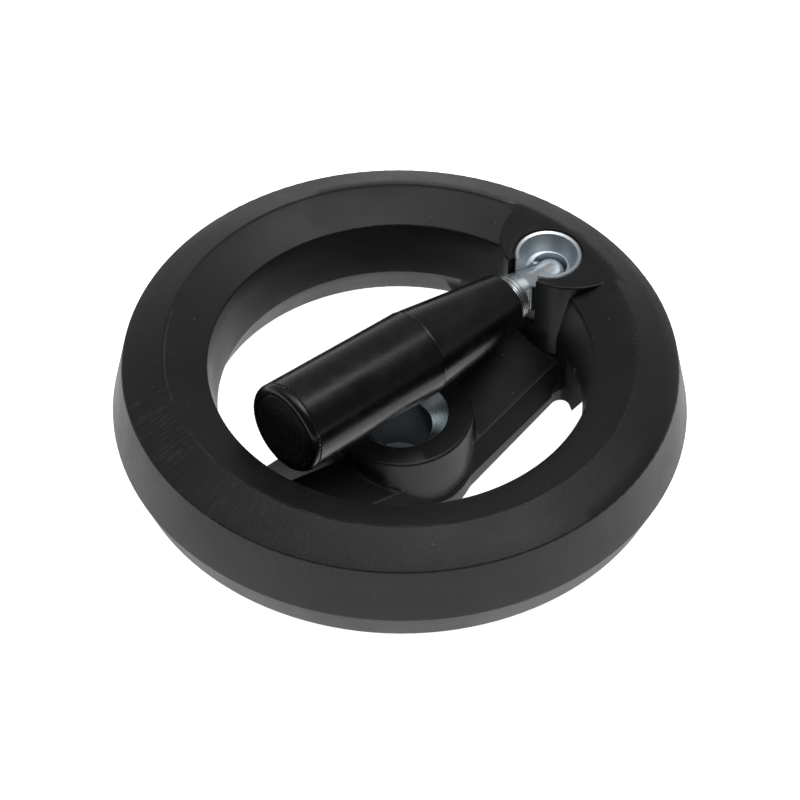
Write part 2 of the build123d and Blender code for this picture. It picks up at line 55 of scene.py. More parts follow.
HANDLE_TURN = math.pi + HANDLE_TILT  # turns the frame's X axis on to the folded handle
SMOOTH_BELOW = math.radians(24.0)  # edges of the solids flatter than this are shaded smooth
WELD_BELOW = 0.0002 * MM  # points of a new piece that lie nearer than this are one
SOLID_WELD_BELOW = 0.001 * MM  # the same for the solids' loose triangles

Colour = tuple[float, float, float]
Span = tuple[float, float]  # from and to, or a pair that its comment explains
Band = tuple[float, float, float]  # from, to, and the width over which it fades outside them
Ease = tuple[float, float, float, float]  # from, to, and the value that is held before and after
Rates = tuple[float, float, float]  # what the three numbers of a vector are multiplied by
Corner = tuple[float, float, float]  # place along a shaft, radius, and the corner's round


# ------------------------------------------------------------
# Shader expressions
# ------------------------------------------------------------
class Signal:
    """A number that varies over a surface: one output socket, with arithmetic that adds Math nodes."""

    def __init__(self, recipe: "Recipe", socket: bpy.types.NodeSocket) -> None:
        """Wraps a socket of a recipe's tree."""
        self.recipe = recipe
        self.socket = socket

    def _math(self, operation: str, *operands: Any) -> "Signal":
        """Adds a Math node of that operation on the operands, in order."""
        return self.recipe.node("ShaderNodeMath", {"operation": operation}, dict(enumerate(operands)))

    def __add__(self, other: Any) -> "Signal":
        """Sum."""
        return self._math("ADD", self, other)

    __radd__ = __add__

    def __sub__(self, other: Any) -> "Signal":
        """Difference."""
        return self._math("SUBTRACT", self, other)

    def __rsub__(self, other: Any) -> "Signal":
        """Difference, reflected."""
        return self._math("SUBTRACT", other, self)

    def __mul__(self, other: Any) -> "Signal":
        """Product."""
        return self._math("MULTIPLY", self, other)

    __rmul__ = __mul__

    def __neg__(self) -> "Signal":
        """Sign turned round."""
        return self * -1.0

    def sine(self) -> "Signal":
        """Sine of an angle in radians."""
        return self._math("SINE", self)

    def size(self) -> "Signal":
        """Absolute value."""
        return self._math("ABSOLUTE", self)

    def angle_to(self, across: "Signal") -> "Signal":
        """Angle, in radians, of the point (across, self)."""
        return self._math("ARCTAN2", self, across)

    def hypotenuse(self, other: "Signal") -> "Signal":
        """Length of the vector that the two make."""
        return self._math("SQRT", self * self + other * other)

    def rise(self, low: float, high: float, bottom: float = 0.0, top: float = 1.0) -> "Signal":
        """Eases from one value to another as the signal grows, and holds beyond both ends.

        Args:
            low: Where it starts to leave bottom.
            high: Where it reaches top.
            bottom: Its value up to low.
            top: Its value from high on.

        Returns:
            The eased signal.
        """
        return self.recipe.node(
            "ShaderNodeMapRange",
            {"interpolation_type": "SMOOTHSTEP"},
            {"Value": self, "From Min": low, "From Max": high, "To Min": bottom, "To Max": top},
        )

    def fall(self, low: float, high: float) -> "Signal":
        """Eases from one to nothing as the signal goes from low to high."""
        return self.rise(low, high, 1.0, 0.0)

    def band(self, low: float, high: float, edge: float) -> "Signal":
        """One between low and high, fading to nothing over an edge width outside them."""
        return self.rise(low - edge, low) * self.fall(high, high + edge)


class Recipe:
    """A node tree while it is written: nodes by type, coordinates, colours and the final surface."""

    def __init__(self, tree: bpy.types.NodeTree, material: Union[bpy.types.Material, None] = None) -> None:
        """Empties the tree of a material, or of a surround, and writes there."""
        self.tree = tree
        self.material = material
        self.tree.nodes.clear()
        self._place: Union[Signal, None] = None

    @classmethod
    def named(cls, name: str) -> "Recipe":
        """Starts a new material.

        Args:
            name: The material's name.

        Returns:
            Its recipe, still empty.
        """
        material = bpy.data.materials.new(name)
        material.use_nodes = True
        return cls(material.node_tree, material)

    def add(
        self, kind: str, settings: Union[dict, None] = None, values: Union[dict, None] = None
    ) -> bpy.types.Node:
        """Adds one node.

        Args:
            kind: The node's type.
            settings: Properties of the node, which are set first.
            values: Socket name or number to a plain value or a Signal.

        Returns:
            The node.
        """
        made = self.tree.nodes.new(kind)
        for name, value in (settings or {}).items():
            setattr(made, name, value)
        for key, value in (values or {}).items():
            socket = made.inputs[key]
            if isinstance(value, Signal):
                self.tree.links.new(value.socket, socket)
            else:
                socket.default_value = value
        return made

    def node(
        self,
        kind: str,
        settings: Union[dict, None] = None,
        values: Union[dict, None] = None,
        output: Union[int, str] = 0,
    ) -> Signal:
        """Adds one node, as add does, and gives the output that is wanted."""
        return Signal(self, self.add(kind, settings, values).outputs[output])

    def place(self) -> Signal:
        """Object coordinates, in metres in the part's frame."""
        if self._place is None:
            self._place = self.node("ShaderNodeTexCoord", output="Object")
        return self._place

    def parts(self, vector: Signal) -> tuple[Signal, Signal, Signal]:
        """Splits a vector into its three numbers."""
        made = self.add("ShaderNodeSeparateXYZ", None, {0: vector})
        return tuple(Signal(self, socket) for socket in made.outputs)

    def stretched(self, numbers: Sequence[Signal], rates: Sequence[float]) -> Signal:
        """Vector of three numbers, each times its own rate."""
        scaled = [number * rate for number, rate in zip(numbers, rates)]
        return self.node("ShaderNodeCombineXYZ", None, dict(enumerate(scaled)))

    def along_handle(self) -> Signal:
        """Object coordinates with their X axis laid along the folded handle.

        Returns:
            A vector whose x runs along the handle from its pivot.
        """
        ends = {0: self.place(), 1: HANDLE_PIVOT}
        moved = self.node("ShaderNodeVectorMath", {"operation": "SUBTRACT"}, ends)
        return self.node(
            "ShaderNodeVectorRotate", {"rotation_type": "Y_AXIS"}, {"Vector": moved, "Angle": HANDLE_TURN}
        )

    def edges(self, radius: float) -> Signal:
        """Normal that rounds the surface's edges off by that radius, in metres."""
        return self.node("ShaderNodeBevel", {"samples": 6}, {"Radius": radius})

    def tint(self, amount: Signal, base: Union[Signal, Colour], other: Colour) -> Signal:
        """Colour that goes from base, which may vary itself, to other as amount goes from 0 to 1."""
        under = base if isinstance(base, Signal) else (*base, 1.0)
        return self.node("ShaderNodeMix", {"data_type": "RGBA"}, {0: amount, 6: under, 7: (*other, 1.0)}, 2)

    def bump(self, height: Signal, depth: float, under: Union[Signal, None] = None) -> Signal:
        """Changes the normal by a height field.

        Args:
            height: The height field.
            depth: What a height of 1 stands for, in metres.
            under: The normal that it changes; the surface's own where none is given.

        Returns:
            The new normal.
        """
        values = {"Strength": 1.0, "Distance": depth, "Height": height}
        if under is not None:
            values["Normal"] = under
        return self.node("ShaderNodeBump", None, values)

    def surface(self, values: dict) -> bpy.types.Material:
        """Ends the material with one Principled surface of those socket values."""
        self.end(self.node("ShaderNodeBsdfPrincipled", None, values))
        return self.material

    def two_surfaces(self, first: dict, second: dict, share: Signal) -> bpy.types.Material:
        """Ends the material with two Principled surfaces, mixed.

        Args:
            first: Socket values of the one that shows where share is 0.
            second: Socket values of the one that shows where share is 1.
            share: The mix.

        Returns:
            The material.
        """
        under, over = (self.node("ShaderNodeBsdfPrincipled", None, values) for values in (first, second))
        self.end(self.node("ShaderNodeMixShader", None, {0: share, 1: under, 2: over}))
        return self.material

    def end(self, shader: Signal, kind: str = "ShaderNodeOutputMaterial") -> None:
        """Links a shader to the tree's output, which is a node of that type."""
        self.add(kind, None, {"Surface": shader})


@dataclass(frozen=True)
class Cloud:
    """A cloud noise, and the levels between which it comes to count."""

    per_m: float
    octaves: float = 2.0
    fineness: float = 0.5
    counts: Span = (0.3, 0.7)

    def level(self, vector: Signal) -> Signal:
        """The noise itself, between 0 and 1, with per_m cells to a unit of the vector."""
        return vector.recipe.node(
            "ShaderNodeTexNoise",
            {"noise_dimensions": "3D"},
            {"Vector": vector, "Scale": self.per_m, "Detail": self.octaves, "Roughness": self.fineness},
            "Fac",
        )

    def share(self, vector: Signal) -> Signal:
        """Nothing where the noise is under the first level, and one where it is over the second."""
        return self.level(vector).rise(*self.counts)


@dataclass(frozen=True)
class Specks:
    """Round specks scattered through space, one to a cell."""

    per_m: float
    radius: Span  # in cells: whole up to the first, gone at the second

    def share(self, vector: Signal) -> Signal:
        """One in a speck and nothing between them."""
        made = vector.recipe.node(
            "ShaderNodeTexVoronoi", {"feature": "F1"}, {"Vector": vector, "Scale": self.per_m}, "Distance"
        )
        return made.fall(*self.radius)


@dataclass(frozen=True)
class Spot:
    """A point of the wheel, as the wheel's own finishes see it."""

    place: Signal
    x: Signal
    y: Signal
    z: Signal
    radius: Signal

    @classmethod
    def of(cls, recipe: Recipe) -> "Spot":
        """The point that is shaded."""
        x, y, z = recipe.parts(recipe.place())
        return cls(recipe.place(), x, y, z, x.hypotenuse(y))


# ------------------------------------------------------------
# Finishes
# ------------------------------------------------------------
@dataclass(frozen=True)
class MouldedBlack:
    """Glass-filled black plastic of the wheel, straight from the mould.

    The grain is coarser on the outer slope, where painted glints, lighter specks in the colour, show most;
    the window edges are lightly rounded, the side away from the socket carries fine radial scratches and a
    broken painted highlight along the ridge, and the plastic is torn where the socket's bush was pressed in.
    Painted highlights run where the arms' roofs meet their side strips, and the arms' upper faces get a copy
    of the surface that reflects less, as painted shade. Along the arms, at a distance |x| from the wheel's
    axis, the half width and the heights change evenly.
    """

    name: str = "moulded_black"
    colour: Colour = (0.0068, 0.0066, 0.0078)
    # The colour of the random chalky mottle, and of the painted glints.
    chalk_and_glint: Colour = (0.0135, 0.013, 0.0155)
    # The colour of real scratches, specks and tears, and of the painted highlights along the ridge and the
    # arms' creases.
    scuff_and_highlight: Colour = (0.06, 0.058, 0.06)
    ior: float = 1.41
    roughness: Span = (0.41, 0.50)
    edge_round: float = 0.32 * MM

    mottle: Cloud = Cloud(55.0, 4.0, 0.6)
    chalk_counts: Span = (0.35, 0.75)
    chalk_share: float = 0.45
    # Painted glints: lighter specks in the colour, strongest on the outer slope.
    sparkle: Specks = Specks(1500.0, (0.0, 0.25))
    sparkle_inside: float = 0.12
    sparkle_gain: float = 0.5
    grain: Cloud = Cloud(1500.0, 3.0, 0.65)
    grain_inside: float = 0.6
    grain_depth: float = 0.050 * MM

    ridge: float = 57.0 * MM
    slope_starts: Span = (56.7 * MM, 57.5 * MM)
    # A broken painted highlight along the ridge.
    ridge_highlight_wander: Cloud = Cloud(120.0, 3.0)
    ridge_highlight_wander_reach: float = 0.5 * MM
    ridge_highlight_offset: float = 0.05 * MM
    ridge_highlight_width: Span = (0.06 * MM, 0.2 * MM)
    ridge_highlight_gaps: Cloud = Cloud(170.0, 3.0, 0.5, (0.42, 0.62))
    ridge_highlight_turn: Band = (-1.0, 0.9, 0.3)
    ridge_highlight_height: Span = (40.0 * MM, 41.5 * MM)
    ridge_highlight_share: float = 0.85

    rays: Cloud = Cloud(1.0, 4.0, 0.65, (0.52, 0.63))
    ray_rates: Rates = (150.0, 210.0, 160.0)  # for a radian, a metre outward and a metre up
    ray_patches: Cloud = Cloud(40.0, 3.0, 0.5, (0.33, 0.52))
    ray_turn: Band = (-0.52, 0.50, 0.25)
    ray_radius: Ease = (55.0 * MM, 58.5 * MM, 0.12, 1.0)
    ray_height: Ease = (32.0 * MM, 37.0 * MM, 0.25, 1.0)
    ray_share: float = 0.45
    ray_roughness: float = 0.15

    specks: Specks = Specks(210.0, (0.045, 0.07))
    speck_patches: Cloud = Cloud(130.0, counts=(0.46, 0.52))
    speck_share: float = 0.9

    socket_x: float = 49.5 * MM
    torn_radius: Band = (8.8 * MM, 10.0 * MM, 0.5 * MM)
    torn_side: Span = (-47.0 * MM, -42.0 * MM)
    torn_height: Span = (41.0 * MM, 41.8 * MM)
    rips: Cloud = Cloud(1300.0, 4.0, 0.7, (0.58, 0.66))
    rip_depth: float = 0.5 * MM
    rip_share: float = 0.5

    arm_half: Span = (15.16 * MM, -0.0967)  # at the wheel's axis, and its change per metre outward
    strip_top: Span = (9.76 * MM, 0.1567)  # the same for the height of the side strip
    # A painted highlight where the arms' roofs meet their side strips.
    crease_width: Span = (0.05 * MM, 0.16 * MM)
    crease_height: Span = (0.2 * MM, 0.5 * MM)
    crease_starts: Span = (8.0 * MM, 12.0 * MM)
    crease_highlight_share: float = 0.65

    # A copy of the surface that reflects less on the arms' upper faces: painted shade.
    roof_edge: Span = (-0.6 * MM, 0.1 * MM)
    roof_length: Band = (15.0 * MM, 41.5 * MM, 1.0 * MM)
    roof_climb: float = 0.2867  # per metre outward
    roof_height: Span = (12.2 * MM, 14.5 * MM)
    roof_share: float = 0.8
    roof_specular: float = 0.12

    corner_length: Band = (36.5 * MM, 43.0 * MM, 1.0 * MM)
    corner_width: Band = (16.5 * MM, 24.0 * MM, 1.0 * MM)
    corner_height: Span = (19.0 * MM, 24.0 * MM)
    corner_roughness: float = 0.5

    def scratches(self, spot: Spot, turn: Signal) -> Signal:
        """Fine radial scratches over the outer slope, and faintly within and below it.

        Args:
            spot: The shaded point.
            turn: Its angle round the wheel from -X.

        Returns:
            One in a scratch.
        """
        vector = spot.place.recipe.stretched((turn, spot.radius, spot.z), self.ray_rates)
        reach = spot.radius.rise(*self.ray_radius) * spot.z.rise(*self.ray_height)
        patches = self.ray_patches.share(spot.place)
        return self.rays.share(vector) * turn.band(*self.ray_turn) * reach * patches

    def ridge_highlight(self, spot: Spot, turn: Signal) -> Signal:
        """Painted highlight: a broken light line along the ridge.

        Args:
            spot: The shaded point.
            turn: Its angle round the wheel from -X.

        Returns:
            One on the line.
        """
        wandering = spot.radius + self.ridge_highlight_wander.level(spot.place) * self.ridge_highlight_wander_reach
        line = (wandering - (self.ridge + self.ridge_highlight_offset)).size().fall(*self.ridge_highlight_width)
        broken = line * self.ridge_highlight_gaps.share(spot.place)
        return broken * turn.band(*self.ridge_highlight_turn) * spot.z.rise(*self.ridge_highlight_height)

    def torn(self, spot: Spot) -> Signal:
        """One in the torn crescent round the socket's bush, on its hub side and towards +Y."""
        ring = (spot.x - self.socket_x).hypotenuse(spot.y).band(*self.torn_radius)
        return ring * (spot.y - spot.x).rise(*self.torn_side) * spot.z.rise(*self.torn_height)

    def past_arm(self, spot: Spot) -> Signal:
        """How far the point lies outside the arm's roofed width, in metres."""
        return spot.y.size() - spot.x.size() * self.arm_half[1] - self.arm_half[0]

    def crease_highlight(self, spot: Spot) -> Signal:
        """Painted highlight: a light line where the arm's roof meets its side strip.

        Args:
            spot: The shaded point.

        Returns:
            One on the line.
        """
        away = spot.x.size()
        line = self.past_arm(spot).size().fall(*self.crease_width)
        above = (spot.z - away * self.strip_top[1] - self.strip_top[0]).size()
        return line * above.fall(*self.crease_height) * away.rise(*self.crease_starts)

    def roof(self, spot: Spot) -> Signal:
        """The arms' upper faces, which get a copy of the surface that reflects less, as painted shade.

        Args:
            spot: The shaded point.

        Returns:
            One on those faces.
        """
        away = spot.x.size()
        inside = self.past_arm(spot).fall(*self.roof_edge) * away.band(*self.roof_length)
        return inside * (spot.z - away * self.roof_climb).fall(*self.roof_height)

    def corner(self, spot: Spot) -> Signal:
        """One on the rough upright faces in the windows' corners."""
        beside = spot.x.size().band(*self.corner_length) * spot.y.size().band(*self.corner_width)
        return beside * spot.z.fall(*self.corner_height)

    def material(self) -> bpy.types.Material:
        """Writes the material.

        Returns:
            The material.
        """
        recipe = Recipe.named(self.name)
        spot = Spot.of(recipe)
        turn = (-spot.y).angle_to(-spot.x)
        slope = spot.radius.rise(*self.slope_starts)
        mottle = self.mottle.level(spot.place)
        rays = self.scratches(spot, turn)
        torn = self.torn(spot)
        rips = self.rips.level(spot.place)
        specks = self.specks.share(spot.place) * self.speck_patches.share(spot.place)
        # Painted glints: lighter specks, strongest on the outer slope.
        sparkle = self.sparkle.share(spot.place) * (slope * self.sparkle_gain + self.sparkle_inside)
        chalk_and_glints = mottle.rise(*self.chalk_counts) * self.chalk_share + sparkle
        # Real scratches, specks and tears, together with painted highlights along the arms' creases and the
        # ridge.
        scuffs_and_highlights = (
            self.crease_highlight(spot) * self.crease_highlight_share
            + rays * self.ray_share
            + self.ridge_highlight(spot, turn) * self.ridge_highlight_share
            + specks * self.speck_share
            + torn * rips.rise(*self.rips.counts) * self.rip_share
        )
        grain = self.grain.level(spot.place) * (slope + self.grain_inside)
        grained = recipe.bump(grain, self.grain_depth, recipe.edges(self.edge_round))
        roughness = mottle.rise(*self.mottle.counts, *self.roughness)
        values = {
            "Base Color": recipe.tint(scuffs_and_highlights, recipe.tint(chalk_and_glints, self.colour, self.chalk_and_glint), self.scuff_and_highlight),
            "IOR": self.ior,
            "Roughness": roughness + rays * self.ray_roughness + self.corner(spot) * self.corner_roughness,
            "Normal": recipe.bump(rips * torn, self.rip_depth, grained),
        }
        # The copy that reflects less on the arms' upper faces stands in for shade: painted shade.
        painted_shade = {**values, "Specular IOR Level": self.roof_specular}
        return recipe.two_surfaces(values, painted_shade, self.roof(spot) * self.roof_share)


@dataclass(frozen=True)
class GripBlack:
    """Satin-gloss black plastic of the turning grip, with faint turning marks and a few nicks."""

    name: str = "grip_black"
    colour: Colour = (0.0035, 0.0036, 0.0042)
    bloom: Colour = (0.0075, 0.0078, 0.009)
    nicked: Colour = (0.05, 0.05, 0.052)
    ior: float = 1.47
    roughness: Span = (0.19, 0.29)
    haze: Cloud = Cloud(130.0, 5.0, 0.62)
    bloom_counts: Span = (0.35, 0.7)
    nicks: Specks = Specks(260.0, (0.05, 0.08))
    nick_patches: Cloud = Cloud(90.0, counts=(0.54, 0.6))
    nick_share: float = 0.6
    peel: Cloud = Cloud(800.0, 3.0, 0.55)
    peel_share: float = 0.7
    lines: Cloud = Cloud(1.0, 3.0, 0.6)
    line_rates: Rates = (2600.0, 40.0, 40.0)
    line_share: float = 0.3
    depth: float = 0.012 * MM

    def material(self) -> bpy.types.Material:
        """Writes the material.

        Returns:
            The material.
        """
        recipe = Recipe.named(self.name)
        along = recipe.along_handle()
        haze = self.haze.level(along)
        lines = self.lines.level(recipe.stretched(recipe.parts(along), self.line_rates))
        nicks = self.nicks.share(along) * self.nick_patches.share(along)
        bloomed = recipe.tint(haze.rise(*self.bloom_counts), self.colour, self.bloom)
        height = self.peel.level(along) * self.peel_share + lines * self.line_share
        return recipe.surface(
            {
                "Base Color": recipe.tint(nicks * self.nick_share, bloomed, self.nicked),
                "IOR": self.ior,
                "Roughness": haze.rise(*self.haze.counts, *self.roughness),
                "Normal": recipe.bump(height, self.depth),
            }
        )


@dataclass(frozen=True)
class TurnedBlack:
    """Black plastic of the end cap, faced off on a lathe: rings round the shaft, with a few chips."""

    name: str = "turned_black"
    colour: Colour = (0.0045, 0.0045, 0.005)
    worn: Colour = (0.05, 0.051, 0.053)
    ior: float = 1.47
    roughness: Span = (0.28, 0.48)
    ring_pitch: float = 0.9 * MM
    drift: Cloud = Cloud(130.0, 3.0)
    drift_reach: float = 0.7 * MM
    crest: Span = (0.80, 1.0)
    worn_patches: Cloud = Cloud(190.0, 3.0, 0.5, (0.42, 0.62))
    worn_share: float = 0.8
    ring_shows: Ease = (0.0, 0.3, 0.2, 1.0)  # rings are deeper where they are worn
    chips: Cloud = Cloud(520.0, 4.0, 0.7, (0.63, 0.68))
    chip_patches: Cloud = Cloud(120.0, counts=(0.5, 0.58))
    chip_share: float = 0.8
    fine: Cloud = Cloud(1.0, 3.0, 0.7)
    fine_rates: Rates = (2400.0, 60.0, 60.0)
    depth: float = 0.045 * MM

    def material(self) -> bpy.types.Material:
        """Writes the material.

        Returns:
            The material.
        """
        recipe = Recipe.named(self.name)
        along = recipe.along_handle()
        _, y, z = recipe.parts(along)
        radius = y.hypotenuse(z)
        fine = self.fine.level(recipe.stretched((radius, y, z), self.fine_rates))
        wandering = radius + self.drift.level(along) * self.drift_reach
        ring = (wandering * (2 * math.pi / self.ring_pitch)).sine()
        worn = ring.rise(*self.crest) * self.worn_patches.share(along) * self.worn_share
        chips = self.chips.share(along) * self.chip_patches.share(along)
        height = ring * worn.rise(*self.ring_shows) + fine - chips
        return recipe.surface(
            {
                "Base Color": recipe.tint(worn + chips * self.chip_share, self.colour, self.worn),
                "IOR": self.ior,
                "Roughness": fine.rise(*self.fine.counts, *self.roughness),
                "Normal": recipe.bump(height, self.depth),
            }
        )


@dataclass(frozen=True)
class ZincPlate:
    """Turned steel with bluish zinc plate: soft spangle, and coarse turning rings where ring_depth is set,
    with painted shade in their grooves.
    """

    name: str = "zinc_plate"
    colour: Colour = (0.71, 0.77, 0.81)
    cloud: Colour = (0.66, 0.72, 0.76)
    roughness: Span = (0.33, 0.42)
    spangle: Cloud = Cloud(420.0, 4.0, 0.6)
    cloud_counts: Span = (0.35, 0.7)
    frost: Cloud = Cloud(3000.0, 3.0, 0.6)
    frost_depth: float = 0.004 * MM
    edge_round: float = 0.12 * MM
    ring_stretch: Band = (9.6 * MM, 16.2 * MM, 0.4 * MM)  # along the handle from its pivot
    ring_depth: float = 0.0
    ring_pitch: float = 0.52 * MM
    wobble: Cloud = Cloud(1.0)
    wobble_rates: Rates = (900.0, 90.0, 90.0)
    wobble_reach: float = 0.35 * MM
    # Painted shade in the rings' grooves.
    ring_groove_shade: Colour = (0.12, 0.125, 0.13)
    ring_groove_shade_counts: Span = (-0.8, 0.2)
    ring_groove_shade_share: float = 0.55

    def material(self) -> bpy.types.Material:
        """Writes the material.

        Returns:
            The material.
        """
        recipe = Recipe.named(self.name)
        along = recipe.along_handle()
        spangle = self.spangle.level(along)
        normal = recipe.bump(self.frost.level(along), self.frost_depth, recipe.edges(self.edge_round))
        colour = recipe.tint(spangle.rise(*self.cloud_counts), self.colour, self.cloud)
        if self.ring_depth > 0:
            s, y, z = recipe.parts(along)
            turned = s.band(*self.ring_stretch)
            wobble = self.wobble.level(recipe.stretched((s, y, z), self.wobble_rates))
            ring = ((s + wobble * self.wobble_reach) * (2 * math.pi / self.ring_pitch)).sine()
            normal = recipe.bump(ring * turned, self.ring_depth, normal)
            # Painted shade in the grooves between the rings.
            dark = ring.fall(*self.ring_groove_shade_counts) * turned * self.ring_groove_shade_share
            colour = recipe.tint(dark, colour, self.ring_groove_shade)
        roughness = spangle.rise(*self.spangle.counts, *self.roughness)
        return recipe.surface(
            {"Base Color": colour, "Metallic": 1.0, "Roughness": roughness, "Normal": normal}
        )


@dataclass(frozen=True)
class BoredSteel:
    """Bright steel bored and faced on a lathe, with fine lines round the wheel's axis, and painted shade
    inside the bore.
    """

    name: str = "bored_steel"
    colour: Colour = (0.78, 0.85, 0.87)
    stain: Colour = (0.62, 0.69, 0.71)
    # Painted shade: the inside of the bore is coloured darker.
    painted_shade: Colour = (0.22, 0.255, 0.27)
    roughness: Span = (0.20, 0.30)
    bore_radius: float = 8.1 * MM
    bore_edge: float = 0.05 * MM
    stains: Cloud = Cloud(260.0, 4.0, 0.6, (0.4, 0.75))
    lines: Cloud = Cloud(1.0, 3.0, 0.65)
    line_rates: Rates = (3000.0, 3000.0, 40.0)
    line_depth: float = 0.0009 * MM

    def material(self) -> bpy.types.Material:
        """Writes the material.

        Returns:
            The material.
        """
        recipe = Recipe.named(self.name)
        spot = Spot.of(recipe)
        lines = self.lines.level(recipe.stretched((spot.radius, spot.z, spot.y), self.line_rates))
        # Painted shade inside the bore.
        inside = spot.radius.fall(self.bore_radius - self.bore_edge, self.bore_radius + self.bore_edge)
        stained = recipe.tint(self.stains.share(spot.place), self.colour, self.stain)
        return recipe.surface(
            {
                "Base Color": recipe.tint(inside, stained, self.painted_shade),
                "Metallic": 1.0,
                "Roughness": lines.rise(*self.lines.counts, *self.roughness),
                "Normal": recipe.bump(lines, self.line_depth),
            }
        )


class Finish(Enum):
    """The finishes of this wheel's pieces."""

    WHEEL = MouldedBlack()
    GRIP = GripBlack()
    CAP = TurnedBlack()
    SOCKET = ZincPlate()
    SPINDLE = ZincPlate(
        name="zinc_turned",
        colour=(0.78, 0.83, 0.86),
        cloud=(0.58, 0.63, 0.66),
        roughness=(0.27, 0.36),
        ring_depth=0.055 * MM,
    )
    BUSH = BoredSteel()
    HARDWARE = BoredSteel(
        name="hidden_steel", colour=(0.45, 0.46, 0.47), stain=(0.3, 0.31, 0.32), bore_radius=0.0
    )

    def material(self) -> bpy.types.Material:
        """The finish's material, written once."""
        return bpy.data.materials.get(self.value.name) or self.value.material()


# ------------------------------------------------------------
# Studio and camera
# ------------------------------------------------------------
def direction(azimuth: float, elevation: float) -> Vector:
    """Unit vector (cos a * cos e, sin a * cos e, sin e) of an azimuth and an elevation in radians."""
    level = math.cos(elevation)
    return Vector((math.cos(azimuth) * level, math.sin(azimuth) * level, math.sin(elevation)))


def stand(name: str, data: bpy.types.ID, target: Vector, away: Vector) -> bpy.types.Object:
    """Sets a light or a camera up so that it faces a point.

    Args:
        name: The object's name.
        data: The light or the camera.
        target: The point that it faces.
        away: From that point to where it stands, in metres.

    Returns:
        The linked object.
    """
    holder = bpy.data.objects.new(name, data)
    bpy.context.scene.collection.objects.link(holder)
    holder.location = target + away
    holder.rotation_mode = "QUATERNION"
    holder.rotation_quaternion = (-away).to_track_quat("-Z", "Y")
    return holder


@dataclass(frozen=True)
class SoftBox:
    """A square soft light that faces a point on the wheel's axis.

    Azimuth 0 stands on the camera's side, and azimuths grow anticlockwise seen from above. Both angles are in
    degrees, and the width and the distance in metres.
    """

    name: str
    azimuth: float
    elevation: float
    width: float
    watts: float
    distance: float = 1.3

    def build(self, camera_azimuth: float, target: Vector) -> bpy.types.Object:
        """Adds the light.

        Args:
            camera_azimuth: Where the camera stands, in radians.
            target: The point that it faces.

        Returns:
            The light object.
        """
        light = bpy.data.lights.new(self.name, "AREA")
        light.shape = "SQUARE"
        light.size = self.width
        light.energy = self.watts
        away = direction(camera_azimuth + math.radians(self.azimuth), math.radians(self.elevation))
        return stand(self.name, light, target, away * self.distance)


